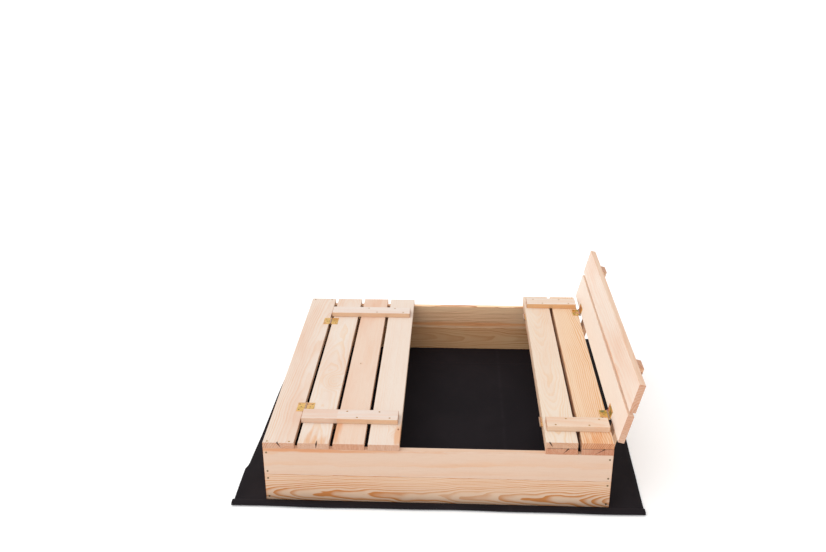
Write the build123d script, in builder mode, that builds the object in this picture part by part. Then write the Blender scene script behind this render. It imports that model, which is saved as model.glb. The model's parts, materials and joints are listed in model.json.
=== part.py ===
from build123d import *
import math
import os

os.makedirs("parts", exist_ok=True)

# A square pine sandbox whose cover folds up into two benches.
# X runs across the ten cover boards, Y along them, Z up. The origin is on the ground,
# below the middle of the box. The left bench is folded flat over the pit and the right
# bench stands open: its seat lies on the two fixed boards and its backrest is up.

# ---------------------------------------------------------------- driving dimensions
box_depth = 1200.0  # along the cover boards
board_thickness = 22.0
edge_radius = 1.5  # planed long edges
cover_board_width = 108.0
cover_board_count = 10
board_gap = 40.0 / 3.0  # between neighbouring cover boards
wall_board_height = 107.0  # each wall is two of these high

batten_width = 64.0
batten_thickness = 20.0
batten_screw_spread = 19.5  # either side of a board's middle, along the batten
batten_screw_zigzag = 20.0  # either side of the batten's middle, across it

left_batten_inset = (162.0, 160.0)  # front and rear end of the box to a batten's middle
left_batten_setback = 13.0  # batten's inner end to the edge of the backrest
left_screw_shift = (-3.0, -8.0)  # screw pair against the middle of each board
right_seat_batten_inset = (103.0, 91.0)
right_seat_batten_setback = (8.0, 5.0)  # from the seat's hinge edge and its outer edge
right_seat_screw_shift = (4.0, -2.0)
right_back_batten_inset = (162.0, 188.0)
right_back_batten_setback = 4.5
right_back_screw_shift = (-3.0, -8.0)

hinge_length = 60.0
hinge_leaf_width = 31.0  # from the pin's axis to the leaf's edge
hinge_leaf_thickness = 1.2
hinge_leaf_play = 0.1  # half the gap between two leaves folded together
hinge_knuckle_radius = 3.0
hinge_pin_radius = 1.5
hinge_pin_clearance = 0.05
hinge_knuckle_count = 5
hinge_knuckle_play = 0.3  # between neighbouring knuckles
hinge_notch_play = 0.5  # leaf edge to the other leaf's knuckles
hinge_screw_reach = (23.5, 16.5, 23.5)  # from the pin's axis, screw by screw
hinge_screw_pitch = 19.0
left_seat_hinge_inset = (238.0, 238.0)
left_back_hinge_inset = (164.0, 164.0)
right_seat_hinge_inset = (167.0, 167.0)
right_back_hinge_inset = (185.0, 164.0)

wood_screw_radius = 2.0
wood_screw_head_radius = 3.6
wood_screw_sink = 0.3  # head below the wood's surface
batten_screw_length = 35.0
wall_screw_length = 60.0
cover_screw_length = 35.0
hinge_screw_radius = 1.5
hinge_screw_head_radius = 2.6
hinge_screw_sink = 0.05
hinge_screw_length = 15.0
screw_tip_length = 3.0
screw_play = 0.1  # around a screw and beyond its tip
countersink_angle = 90.0

wall_screw_from_end = 11.0  # in the middle of the side board behind
wall_screw_from_edges = ((14.0, 16.5), (12.5, 18.0))  # lower and upper board, bottom and top
cover_screw_from_edges = (14.5, 17.0)  # outer and inner edge of a fixed board

fold_clearance = 0.3  # folding boards to the walls and to the seat they shut onto
left_tail_clearance = 2.5  # open backrest's tail to the side wall it bears on
right_tail_clearance = 1.2

sheet_thickness = 2.0
sheet_margin_left_front = 114.0  # sheet beyond the walls
sheet_margin_left_middle = 105.0
sheet_margin_left_rear = 72.0
sheet_left_step = (176.0, 212.0)  # the jog in the left edge, from the front wall
sheet_margin_right_front = 117.0
sheet_margin_right_middle = 133.0
sheet_margin_right_rear = 100.0
sheet_right_bend = 420.0  # where the right edge stands out most, from the front wall
sheet_margin_rear = 92.0
hem_width = 34.0  # front edge of the sheet, rolled over itself
hem_height = 16.0
hem_radius = 7.0
hem_from_wall = 6.0
hem_overhang = 3.0  # roll's ends beyond the sheet's corners

# ---------------------------------------------------------------- derived sizes
board_pitch = cover_board_width + board_gap
box_width = cover_board_count * cover_board_width + (cover_board_count - 1) * board_gap
half_width = box_width / 2
half_depth = box_depth / 2
wall_bottom = sheet_thickness
wall_middle = wall_bottom + wall_board_height
wall_top = wall_bottom + 2 * wall_board_height
cover_top = wall_top + board_thickness
pin_lift = hinge_leaf_thickness + hinge_leaf_play  # pin's axis above the board's face

seat_gap_middle = board_gap / 2  # pin's axis to the edge of the board beside it
two_boards = 2 * cover_board_width + board_gap
seat_board_thickness = board_thickness - fold_clearance
batten_tail = board_pitch  # batten beyond the backrest's hinge line


def open_lean(tail_clearance):
    """A backrest's lean from the upright, in radians, when its tail meets the wall.

    The tail of its battens swings down outside the box until the inner corner of the
    tail stands tail_clearance from the side wall.
    """
    offset = pin_lift + board_thickness
    reach = math.hypot(offset, batten_tail)
    return math.atan2(offset, batten_tail) + math.asin((seat_gap_middle - tail_clearance) / reach)


left_lean = open_lean(left_tail_clearance)
right_lean = open_lean(right_tail_clearance)

left_seat_pin_x = -half_width + board_pitch - seat_gap_middle
left_back_pin_x = left_seat_pin_x + board_pitch
right_seat_pin_x = half_width - 2 * board_pitch + seat_gap_middle
right_back_pin_x = half_width + seat_gap_middle
seat_pin_z = cover_top + pin_lift
closed_back_pin_z = wall_top + fold_clearance - pin_lift
open_back_pin_z = seat_pin_z + pin_lift + seat_board_thickness + pin_lift

# Each frame stands on a hinge line: X across the boards and away from the line, Z out of
# the face that is on top when the cover is shut.
box_frame = Plane.XY
left_seat_frame = Plane((left_seat_pin_x, 0, seat_pin_z), x_dir=(1, 0, 0), z_dir=(0, 0, 1))
left_back_frame = Plane((left_back_pin_x, 0, closed_back_pin_z), x_dir=(1, 0, 0), z_dir=(0, 0, 1))
right_seat_frame = Plane((right_seat_pin_x, 0, seat_pin_z), x_dir=(1, 0, 0), z_dir=(0, 0, -1))
right_back_frame = Plane(
    (right_back_pin_x, 0, open_back_pin_z),
    x_dir=(math.sin(right_lean), 0, math.cos(right_lean)),
    z_dir=(math.cos(right_lean), 0, -math.sin(right_lean)),
)

finished = {}


def keep(name, part):
    """Label a finished piece and write it to its own file."""
    part.label = name
    finished[name] = part
    export_step(part, "parts/" + name + ".step")


def turned(frame, direction):
    """A direction given in a frame, as a vector in the box's own axes."""
    x, y, z = direction
    return frame.x_dir * x + frame.y_dir * y + frame.z_dir * z


def spot(frame, point, facing):
    """A plane at a point of a frame, its Z along facing: where a screw goes in."""
    return Plane(frame.from_local_coords(Vector(*point)), z_dir=turned(frame, facing))


def ends_y(insets, side=1):
    """Middles of the front and rear piece, side -1 in a frame whose Y runs to the front."""
    front, rear = insets
    return (side * (front - half_depth), side * (half_depth - rear))


# ---------------------------------------------------------------- screws
def screw(length, radius, head_radius, sink):
    """A countersunk screw along -Z, whose head lies sink below the origin."""
    neck = sink + head_radius - radius
    with BuildPart() as one_screw:
        with BuildSketch(Plane.XZ):
            with BuildLine():
                Polyline(
                    (0, -sink),
                    (head_radius, -sink),
                    (radius, -neck),
                    (radius, -length + screw_tip_length),
                    (0, -length),
                    close=True,
                )
            make_face()
        revolve(axis=Axis.Z)
    return one_screw.part


def screw_group(name, one_screw, places):
    """The same screw at each place, as one node of separate solids."""
    with BuildPart() as group:
        with Locations(*(place.location for place in places)):
            add(one_screw)
    keep(name, group.part)


batten_screw = screw(
    batten_screw_length, wood_screw_radius, wood_screw_head_radius, wood_screw_sink
)
wall_screw = screw(wall_screw_length, wood_screw_radius, wood_screw_head_radius, wood_screw_sink)
cover_screw = screw(cover_screw_length, wood_screw_radius, wood_screw_head_radius, wood_screw_sink)
hinge_screw = screw(
    hinge_screw_length, hinge_screw_radius, hinge_screw_head_radius, hinge_screw_sink
)


def cut_head_holes(places, depth):
    """Countersunk holes for wood screws through the piece in hand."""
    if places:
        with Locations(*(place.location for place in places)):
            CounterSinkHole(
                wood_screw_radius + screw_play,
                wood_screw_head_radius + wood_screw_sink + screw_play,
                depth,
                countersink_angle,
            )


def cut_pilot_holes(places, radius, skipped, length):
    """Blind holes in the piece in hand for screws whose first stretch is in another piece."""
    if places:
        with Locations(*(place.offset(-skipped).location for place in places)):
            Hole(radius + screw_play, length - skipped + screw_play)


# ---------------------------------------------------------------- boards and battens
def timber(name, frame, along, low, size, heads=(), pilots=(), hinge_places=()):
    """A planed board with rounded long edges.

    low is its lowest corner in the frame and size its three sides. heads are the places
    of screws whose heads it holds. pilots are (places, thickness of the piece above,
    screw length), and hinge_places are the screws of the hinge leaves on its faces.
    """
    step = "xyz".index(along)
    centre = [low[i] + size[i] / 2 for i in range(3)]
    centre[step] = low[step]
    grain = [0, 0, 0]
    grain[step] = 1
    across = [0, 0, 0]
    across[(step + 1) % 3] = 1
    section = Plane(
        frame.from_local_coords(Vector(*centre)),
        x_dir=turned(frame, across),
        z_dir=turned(frame, grain),
    )
    with BuildPart() as piece:
        with BuildSketch(section):
            RectangleRounded(size[(step + 1) % 3], size[(step + 2) % 3], edge_radius)
        extrude(amount=size[step])
        cut_head_holes(heads, min(size) + screw_play)
        for places, skipped, length in pilots:
            cut_pilot_holes(places, wood_screw_radius, skipped, length)
        cut_pilot_holes(
            hinge_places, hinge_screw_radius, hinge_leaf_thickness, hinge_screw_length
        )
    keep(name, piece.part)


# ---------------------------------------------------------------- hinges
def leaf_plane(frame, middle_y, reach, away):
    """Section plane at a hinge's middle: X along the leaf, Y off the board."""
    return Plane(
        frame.from_local_coords(Vector(0, middle_y, 0)), x_dir=reach, z_dir=reach.cross(away)
    )


def leaf_screws(plane):
    """Places of the three staggered screws on the open face of a leaf."""
    places = []
    for index, reach in enumerate(hinge_screw_reach):
        point = Vector(reach, -hinge_leaf_play, (index - 1) * hinge_screw_pitch)
        places.append(Plane(plane.from_local_coords(point), z_dir=plane.y_dir))
    return places


def hinge_leaf(name, plane, own_knuckles):
    """One leaf with its knuckles, bore and countersunk screw holes."""
    knuckle_pitch = hinge_length / hinge_knuckle_count
    leaf_middle_y = -hinge_leaf_play - hinge_leaf_thickness / 2
    notch = hinge_knuckle_radius + hinge_notch_play
    wrap = hinge_pin_radius + hinge_leaf_play * 2
    with BuildPart() as leaf:
        with BuildSketch(plane.offset(-hinge_length / 2)):
            with Locations(((notch + hinge_leaf_width) / 2, leaf_middle_y)):
                Rectangle(hinge_leaf_width - notch, hinge_leaf_thickness)
        extrude(amount=hinge_length)
        for index in own_knuckles:
            start = index * knuckle_pitch - hinge_length / 2 + hinge_knuckle_play / 2
            with BuildSketch(plane.offset(start)):
                Circle(hinge_knuckle_radius)
                with Locations(((wrap + notch + 1) / 2, leaf_middle_y)):
                    Rectangle(notch + 1 - wrap, hinge_leaf_thickness)
            extrude(amount=knuckle_pitch - hinge_knuckle_play)
        with BuildSketch(plane.offset(-hinge_length / 2)):
            Circle(hinge_pin_radius + hinge_pin_clearance)
        extrude(amount=hinge_length, mode=Mode.SUBTRACT)
        with Locations(*(place.location for place in leaf_screws(plane))):
            CounterSinkHole(
                hinge_screw_radius + screw_play,
                hinge_screw_head_radius + hinge_screw_sink + screw_play,
                hinge_leaf_thickness + screw_play,
                countersink_angle,
            )
    keep(name, leaf.part)


def hinge(name, frame, middle_y, fixed, moving):
    """Two leaves and a pin. fixed and moving are (label, reach, away) of each leaf."""
    first = leaf_plane(frame, middle_y, fixed[1], fixed[2])
    second = leaf_plane(frame, middle_y, moving[1], moving[2])
    outer = range(0, hinge_knuckle_count, 2)
    inner = range(1, hinge_knuckle_count, 2)
    hinge_leaf(name + "_" + fixed[0], first, outer)
    hinge_leaf(name + "_" + moving[0], second, inner)
    with BuildPart() as pin:
        with BuildSketch(first.offset(-hinge_length / 2)):
            Circle(hinge_pin_radius)
        extrude(amount=hinge_length)
    keep(name + "_pin", pin.part)
    return leaf_screws(first), leaf_screws(second)


right = Vector(1, 0, 0)
left = Vector(-1, 0, 0)
up = Vector(0, 0, 1)
down = Vector(0, 0, -1)
lean_up = right_back_frame.x_dir
lean_front = -right_back_frame.z_dir

hinge_lines = (
    # name, frame, middles, then reach and facing of the fixed leaf and of the moving leaf
    ("left_seat_hinge", left_seat_frame, ends_y(left_seat_hinge_inset), left, up, right, up),
    ("left_back_hinge", left_back_frame, ends_y(left_back_hinge_inset), left, down, right, down),
    ("right_seat_hinge", right_seat_frame, ends_y(right_seat_hinge_inset, -1), right, up, right, down),
    ("right_back_hinge", right_back_frame, ends_y(right_back_hinge_inset, -1), left, up, lean_up, lean_front),
)
fixed_leaf_names = {
    "left_seat_hinge": ("box_leaf", "seat_leaf"),
    "left_back_hinge": ("seat_leaf", "back_leaf"),
    "right_seat_hinge": ("box_leaf", "seat_leaf"),
    "right_back_hinge": ("seat_leaf", "back_leaf"),
}
leaf_screw_places = {}
for line, frame, middles, fixed_reach, fixed_away, moving_reach, moving_away in hinge_lines:
    fixed_label, moving_label = fixed_leaf_names[line]
    on_fixed = []
    on_moving = []
    for end, middle_y in zip(("front", "rear"), middles):
        first_places, second_places = hinge(
            line + "_" + end,
            frame,
            middle_y,
            (fixed_label, fixed_reach, fixed_away),
            (moving_label, moving_reach, moving_away),
        )
        on_fixed += first_places
        on_moving += second_places
    leaf_screw_places[line] = (on_fixed, on_moving)

# ---------------------------------------------------------------- ground sheet
front_y = -half_depth
left_x = -half_width
right_x = half_width
hem_middle_y = front_y - hem_from_wall - hem_width / 2
with BuildPart() as ground_sheet:
    with BuildSketch(Plane.XY):
        with BuildLine():
            Polyline(
                (left_x - sheet_margin_left_front, hem_middle_y),
                (left_x - sheet_margin_left_front, front_y + sheet_left_step[0]),
                (left_x - sheet_margin_left_middle, front_y + sheet_left_step[1]),
                (left_x - sheet_margin_left_rear, half_depth + sheet_margin_rear),
                (right_x + sheet_margin_right_rear, half_depth + sheet_margin_rear),
                (right_x + sheet_margin_right_middle, front_y + sheet_right_bend),
                (right_x + sheet_margin_right_front, hem_middle_y),
                close=True,
            )
        make_face()
    extrude(amount=sheet_thickness)
    with BuildSketch(Plane.YZ.offset(left_x - sheet_margin_left_front - hem_overhang)):
        with Locations((hem_middle_y, hem_height / 2)):
            RectangleRounded(hem_width, hem_height, hem_radius)
    extrude(
        amount=box_width
        + sheet_margin_left_front
        + sheet_margin_right_front
        + 2 * hem_overhang
    )
keep("ground_sheet", ground_sheet.part)

# ---------------------------------------------------------------- walls
wall_levels = (("lower", wall_bottom), ("upper", wall_middle))
front_screws = []
rear_screws = []
for (level, bottom), (from_bottom, from_top) in zip(wall_levels, wall_screw_from_edges):
    heights = (bottom + from_bottom, bottom + wall_board_height - from_top)
    for side in (-1, 1):
        x = side * (half_width - wall_screw_from_end)
        front_screws += [spot(box_frame, (x, -half_depth, z), (0, -1, 0)) for z in heights]
        rear_screws += [spot(box_frame, (x, half_depth, z), (0, 1, 0)) for z in heights]
wall_screw_places = front_screws + rear_screws

wall_middle_y = half_depth - board_thickness / 2
fixed_boards = (
    # name, low x, side of the outer edge
    ("left_fixed_board", -half_width, -1),
    ("right_fixed_board_inner", half_width - two_boards, 1),
    ("right_fixed_board_outer", half_width - cover_board_width, 1),
)
fixed_screw_places = {}
for name, low_x, outer in fixed_boards:
    from_outer, from_inner = cover_screw_from_edges
    margins = (from_outer, from_inner) if outer < 0 else (from_inner, from_outer)
    spots = []
    for x in (low_x + margins[0], low_x + cover_board_width - margins[1]):
        for y in (-wall_middle_y, wall_middle_y):
            spots.append(spot(box_frame, (x, y, cover_top), (0, 0, 1)))
    fixed_screw_places[name] = spots
cover_screw_places = [place for spots in fixed_screw_places.values() for place in spots]

for level, bottom in wall_levels:
    top_screws = cover_screw_places if level == "upper" else ()
    front_top = [place for place in top_screws if place.origin.Y < 0]
    rear_top = [place for place in top_screws if place.origin.Y > 0]
    here = [p for p in wall_screw_places if bottom < p.origin.Z < bottom + wall_board_height]
    for name, y, heads, tops in (
        ("front_wall_" + level, -half_depth, [p for p in here if p.origin.Y < 0], front_top),
        ("rear_wall_" + level, half_depth - board_thickness, [p for p in here if p.origin.Y > 0], rear_top),
    ):
        timber(
            name,
            box_frame,
            "x",
            (-half_width, y, bottom),
            (box_width, board_thickness, wall_board_height),
            heads=heads,
            pilots=[(tops, board_thickness, cover_screw_length)],
        )
    for name, x in (
        ("left_wall_" + level, -half_width),
        ("right_wall_" + level, half_width - board_thickness),
    ):
        own = [p for p in here if abs(p.origin.X - x - board_thickness / 2) < board_thickness]
        timber(
            name,
            box_frame,
            "y",
            (x, -half_depth + board_thickness, bottom),
            (board_thickness, box_depth - 2 * board_thickness, wall_board_height),
            pilots=[(own, board_thickness, wall_screw_length)],
        )
screw_group("wall_corner_screws", wall_screw, wall_screw_places)

# ---------------------------------------------------------------- fixed cover boards
for name, low_x, _ in fixed_boards:
    hinge_places = {
        "left_fixed_board": leaf_screw_places["left_seat_hinge"][0],
        "right_fixed_board_inner": leaf_screw_places["right_seat_hinge"][0],
        "right_fixed_board_outer": (),
    }[name]
    timber(
        name,
        box_frame,
        "y",
        (low_x, -half_depth, wall_top),
        (cover_board_width, box_depth, board_thickness),
        heads=fixed_screw_places[name],
        hinge_places=hinge_places,
    )
screw_group("fixed_board_screws", cover_screw, cover_screw_places)


# ---------------------------------------------------------------- folding panels
def batten_screws(frame, face_z, facing, board_lows, shifts, middles, turns):
    """Two staggered screws in each board at each batten, on the batten's open face."""
    places = {}
    for middle_y, turn in zip(middles, turns):
        for low_x, shift in zip(board_lows, shifts):
            middle_x = low_x + cover_board_width / 2 + shift
            for side in (-1, 1):
                point = (
                    middle_x + side * batten_screw_spread,
                    middle_y - side * turn * batten_screw_zigzag,
                    face_z,
                )
                places.setdefault((middle_y, low_x), []).append(spot(frame, point, facing))
    return places


def panel(
    body, frame, board_names, board_z, thickness, batten_ends, batten_z, middles, shifts, turns, on_boards
):
    """The boards of a folding panel with a batten across them near each end."""
    board_lows = [seat_gap_middle + i * board_pitch for i in range(len(board_names))]
    outward = 1 if batten_z > board_z else -1
    face_z = batten_z + batten_thickness if outward > 0 else batten_z
    screws = batten_screws(
        frame, face_z, (0, 0, outward), board_lows, shifts, middles, turns
    )
    for name, low_x, hinge_places in zip(board_names, board_lows, on_boards):
        own = [p for key, places in screws.items() if key[1] == low_x for p in places]
        timber(
            name,
            frame,
            "y",
            (low_x, -half_depth, board_z),
            (cover_board_width, box_depth, thickness),
            pilots=[(own, batten_thickness, batten_screw_length)],
            hinge_places=hinge_places,
        )
    for end, middle_y in zip(("front", "rear"), middles):
        own = [p for key, places in screws.items() if key[0] == middle_y for p in places]
        timber(
            body + "_batten_" + end,
            frame,
            "x",
            (batten_ends[0], middle_y - batten_width / 2, batten_z),
            (batten_ends[1] - batten_ends[0], batten_width, batten_thickness),
            heads=own,
        )
    everything = [place for places in screws.values() for place in places]
    screw_group(body + "_batten_screws", batten_screw, everything)


seat_board_z = -pin_lift - seat_board_thickness
back_board_z = pin_lift
back_batten_z = pin_lift + board_thickness
panel_edge = seat_gap_middle + two_boards

timber(
    "left_seat_board",
    left_seat_frame,
    "y",
    (seat_gap_middle, -half_depth, seat_board_z),
    (cover_board_width, box_depth, seat_board_thickness),
    hinge_places=leaf_screw_places["left_seat_hinge"][1] + leaf_screw_places["left_back_hinge"][0],
)
panel(
    "left_back",
    left_back_frame,
    ("left_back_board_outer", "left_back_board_inner"),
    back_board_z,
    board_thickness,
    (-batten_tail, panel_edge - left_batten_setback),
    back_batten_z,
    ends_y(left_batten_inset),
    left_screw_shift,
    (1, 1),
    (leaf_screw_places["left_back_hinge"][1], ()),
)
panel(
    "right_seat",
    right_seat_frame,
    ("right_seat_board_inner", "right_seat_board_outer"),
    seat_board_z,
    seat_board_thickness,
    (
        seat_gap_middle + right_seat_batten_setback[0],
        panel_edge - right_seat_batten_setback[1],
    ),
    seat_board_z - batten_thickness,
    ends_y(right_seat_batten_inset, -1),
    right_seat_screw_shift,
    (1, -1),
    (leaf_screw_places["right_seat_hinge"][1], leaf_screw_places["right_back_hinge"][0]),
)
panel(
    "right_back",
    right_back_frame,
    ("right_back_board_lower", "right_back_board_upper"),
    back_board_z,
    board_thickness,
    (-batten_tail, panel_edge - right_back_batten_setback),
    back_batten_z,
    ends_y(right_back_batten_inset, -1),
    right_back_screw_shift,
    (-1, -1),
    (leaf_screw_places["right_back_hinge"][1], ()),
)

# ---------------------------------------------------------------- hinge screws by carrier
screw_carriers = {
    "box_hinge_screws": (("left_seat_hinge", 0), ("right_seat_hinge", 0)),
    "left_seat_hinge_screws": (("left_seat_hinge", 1), ("left_back_hinge", 0)),
    "left_back_hinge_screws": (("left_back_hinge", 1),),
    "right_seat_hinge_screws": (("right_seat_hinge", 1), ("right_back_hinge", 0)),
    "right_back_hinge_screws": (("right_back_hinge", 1),),
}
for name, leaves in screw_carriers.items():
    places = [place for line, leaf in leaves for place in leaf_screw_places[line][leaf]]
    screw_group(name, hinge_screw, places)

print("pieces", len(finished))
print("box", box_width, "x", box_depth, "cover top", cover_top)
print("open lean", math.degrees(left_lean), math.degrees(right_lean))
print("seat pins x", left_seat_pin_x, right_seat_pin_x, "z", seat_pin_z)
print("back pins x", left_back_pin_x, right_back_pin_x, "z", closed_back_pin_z, open_back_pin_z)
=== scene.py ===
# %% [markdown]
# # A wooden sandpit whose cover unfolds into two benches
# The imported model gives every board, batten, hinge and screw its exact place. This script leaves those places
# alone and gives each piece its finish: planed pine, yellow zinc, dull screws and a black ground sheet.
# Screws and the sheet are made again here in finer detail. Everything is in metres.

# %% Load the frame
import json
import math
import random

import bmesh
import bpy
import numpy as np
from mathutils import Matrix, Vector


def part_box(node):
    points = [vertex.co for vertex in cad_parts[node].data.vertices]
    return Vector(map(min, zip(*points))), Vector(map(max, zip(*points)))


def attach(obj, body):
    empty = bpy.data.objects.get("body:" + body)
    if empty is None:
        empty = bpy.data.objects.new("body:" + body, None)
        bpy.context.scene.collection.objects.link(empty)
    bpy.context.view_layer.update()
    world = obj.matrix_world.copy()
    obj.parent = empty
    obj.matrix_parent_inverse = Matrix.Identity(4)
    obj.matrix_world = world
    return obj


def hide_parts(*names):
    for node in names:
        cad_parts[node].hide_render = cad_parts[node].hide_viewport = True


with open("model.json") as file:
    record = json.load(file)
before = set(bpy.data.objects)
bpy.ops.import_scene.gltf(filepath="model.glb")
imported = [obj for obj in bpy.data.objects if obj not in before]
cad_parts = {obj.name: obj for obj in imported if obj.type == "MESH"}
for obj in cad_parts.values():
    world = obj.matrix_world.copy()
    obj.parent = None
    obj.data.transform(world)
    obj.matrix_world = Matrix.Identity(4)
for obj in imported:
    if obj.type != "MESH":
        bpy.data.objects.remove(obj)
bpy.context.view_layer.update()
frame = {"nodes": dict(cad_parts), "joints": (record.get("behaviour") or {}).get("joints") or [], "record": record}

nodes = frame["nodes"]
joints = {joint["name"]: joint for joint in frame["joints"]}
body_of = {name: body for body, names in frame["record"]["behaviour"]["bodies"].items() for name in names}

# %% [markdown]
# ## Camera
# The viewer stands a little to the right of the middle, well in front of the box, and looks down at it.
# A camera is turned in three steps: round the upright axis, down from the horizon, and a touch about its own line
# of sight. Multiplying the three turns keeps each number meaningful, where one set of Euler angles would not.

# %% Place the camera
eye = Vector((0.0473, -3.2438, 1.9906))
yaw, pitch_down, roll = 0.04731, 0.40125, -0.00507
camera_data = bpy.data.cameras.new("viewer")
camera_data.lens = 39.86
camera_data.sensor_width = 36.0
camera = bpy.data.objects.new("viewer", camera_data)
camera.matrix_world = (
    Matrix.Translation(eye)
    @ Matrix.Rotation(yaw, 4, "Z")
    @ Matrix.Rotation(math.pi / 2 - pitch_down, 4, "X")
    @ Matrix.Rotation(roll, 4, "Z")
)
bpy.context.scene.collection.objects.link(camera)
bpy.context.scene.camera = camera
print("camera at", tuple(round(v, 3) for v in eye), "lens", camera_data.lens, "mm")

# %% [markdown]
# ## Floor and light
# Garden furniture is often shown in a white tent, where light comes from everywhere and leaves hardly a shadow.
# A white world does that. One very wide sun stands high on the left: it makes tops and left faces lighter than
# fronts, and because its disc is so large its shadows stay faint. The world is shown a little brighter than it
# shines, so that the backdrop stays white. The Standard view transform keeps the pale wood as pale as it is painted.

# %% White tent
scene = bpy.context.scene
scene.view_settings.view_transform = "Standard"
tent_shine, tent_look = 0.80, 1.05
floor_glow = 0.13
world = bpy.data.worlds.new("white tent")
world.use_nodes = True
sky = world.node_tree
sky.nodes["Background"].inputs["Color"].default_value = (1.0, 1.0, 1.0, 1.0)
seen_directly = sky.nodes.new("ShaderNodeLightPath").outputs["Is Camera Ray"]
brightness = sky.nodes.new("ShaderNodeMapRange")
brightness.inputs["To Min"].default_value = tent_shine
brightness.inputs["To Max"].default_value = tent_look
sky.links.new(seen_directly, brightness.inputs["Value"])
sky.links.new(brightness.outputs["Result"], sky.nodes["Background"].inputs["Strength"])
scene.world = world

sun_side = Vector((-0.64, -0.25, 0.72))
sun_light = bpy.data.lights.new("wide lamp", "SUN")
sun_light.energy = 1.65
sun_light.angle = math.radians(95)
sun = bpy.data.objects.new("wide lamp", sun_light)
sun.matrix_world = sun_side.to_track_quat("Z", "Y").to_matrix().to_4x4()
scene.collection.objects.link(sun)

floor_mesh = bpy.data.meshes.new("studio_floor")
reach = 60.0
floor_corners = [(-reach, -reach, 0), (reach, -reach, 0), (reach, reach, 0), (-reach, reach, 0)]
floor_mesh.from_pydata(floor_corners, [], [(0, 1, 2, 3)])
floor = bpy.data.objects.new("studio_floor", floor_mesh)
scene.collection.objects.link(floor)
floor_paint = bpy.data.materials.new("studio floor")
floor_paint.use_nodes = True
floor_shader = floor_paint.node_tree.nodes["Principled BSDF"]
floor_shader.inputs["Base Color"].default_value = (0.96, 0.96, 0.96, 1)
floor_shader.inputs["Roughness"].default_value = 0.95
floor_shader.inputs["Specular IOR Level"].default_value = 0.1
floor_shader.inputs["Emission Color"].default_value = (1, 1, 1, 1)
floor_shader.inputs["Emission Strength"].default_value = floor_glow
floor_mesh.materials.append(floor_paint)
print("white tent: world", tent_shine, "and a lamp", round(math.degrees(sun_light.angle)), "degrees wide")

# %% [markdown]
# ## Small helpers for node trees
# A finish is a chain of small sums. Adding each node by hand takes six lines, so these helpers add one node, wire
# it and hand back its output. A number may stand wherever a socket may. Every finish here is a shader group that
# works out a colour, a roughness and a height, so one helper can build the material round any of them.

# %% Node helpers
def wire(tree, socket, value):
    """Links value into socket, or stores it there when it is a plain number or vector."""
    if isinstance(value, bpy.types.NodeSocket):
        tree.links.new(value, socket)
    else:
        socket.default_value = value


def calc(tree, operation, *values, clamp=False):
    """One Math node."""
    node = tree.nodes.new("ShaderNodeMath")
    node.operation = operation
    node.use_clamp = clamp
    for socket, value in zip(node.inputs, values):
        wire(tree, socket, value)
    return node.outputs[0]


def vector_calc(tree, operation, *values, out=0):
    """One Vector Math node."""
    node = tree.nodes.new("ShaderNodeVectorMath")
    node.operation = operation
    for socket, value in zip(node.inputs, values):
        wire(tree, socket, value)
    return node.outputs[out]


def smooth_step(tree, value, low, high):
    """0 below low, 1 above high, with a soft change between."""
    node = tree.nodes.new("ShaderNodeMapRange")
    node.interpolation_type = "SMOOTHSTEP"
    wire(tree, node.inputs["Value"], value)
    wire(tree, node.inputs["From Min"], low)
    wire(tree, node.inputs["From Max"], high)
    return node.outputs["Result"]


def product(tree, first, second):
    """One number times another."""
    return calc(tree, "MULTIPLY", first, second)


def inverse(tree, value, clamp=False):
    """1 less value, which turns a mask inside out."""
    return calc(tree, "SUBTRACT", 1.0, value, clamp=clamp)


def distance(tree, across, along):
    """How far a point lies, from its offsets in two directions at right angles."""
    return calc(tree, "SQRT", calc(tree, "ADD", product(tree, across, across), product(tree, along, along)))


def mottle(tree, vector, stretch, detail=2.0, roughness=0.5):
    """A noise texture, stretched by one factor for each axis: larger factors give smaller spots."""
    node = tree.nodes.new("ShaderNodeTexNoise")
    wire(tree, node.inputs["Vector"], vector_calc(tree, "MULTIPLY", vector, stretch))
    node.inputs["Scale"].default_value = 1.0
    node.inputs["Detail"].default_value = detail
    node.inputs["Roughness"].default_value = roughness
    return node.outputs[0]


def tint(tree, factor, first, second, mode="MIX"):
    """Mixes two colours by factor."""
    node = tree.nodes.new("ShaderNodeMix")
    node.data_type = "RGBA"
    node.blend_type = mode
    wire(tree, node.inputs[0], factor)
    wire(tree, node.inputs[6], first)
    wire(tree, node.inputs[7], second)
    return node.outputs[2]


def darken_by(tree, factor, colour, multiplier):
    """Darkens a colour by multiplying it with another, by factor, for real tones and painted shade alike."""
    return tint(tree, factor, colour, shown(*multiplier), "MULTIPLY")


def split(tree, vector):
    """The three numbers of a vector."""
    node = tree.nodes.new("ShaderNodeSeparateXYZ")
    wire(tree, node.inputs[0], vector)
    return node.outputs


def new_group(name, inputs, outputs):
    """An empty shader group with named sockets: {name: (socket type, default)}."""
    tree = bpy.data.node_groups.new(name, "ShaderNodeTree")
    for label, (kind, value) in inputs.items():
        socket = tree.interface.new_socket(label, in_out="INPUT", socket_type="NodeSocket" + kind)
        socket.default_value = value
    for label, kind in outputs.items():
        tree.interface.new_socket(label, in_out="OUTPUT", socket_type="NodeSocket" + kind)
    return tree, tree.nodes.new("NodeGroupInput").outputs, tree.nodes.new("NodeGroupOutput").inputs


def shown(red, green, blue):
    """A colour as the eye sees it, 0 to 1, turned into the linear light that a shader wants."""
    return tuple((v / 12.92 if v < 0.04045 else ((v + 0.055) / 1.055) ** 2.4) for v in (red, green, blue)) + (1.0,)


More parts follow.
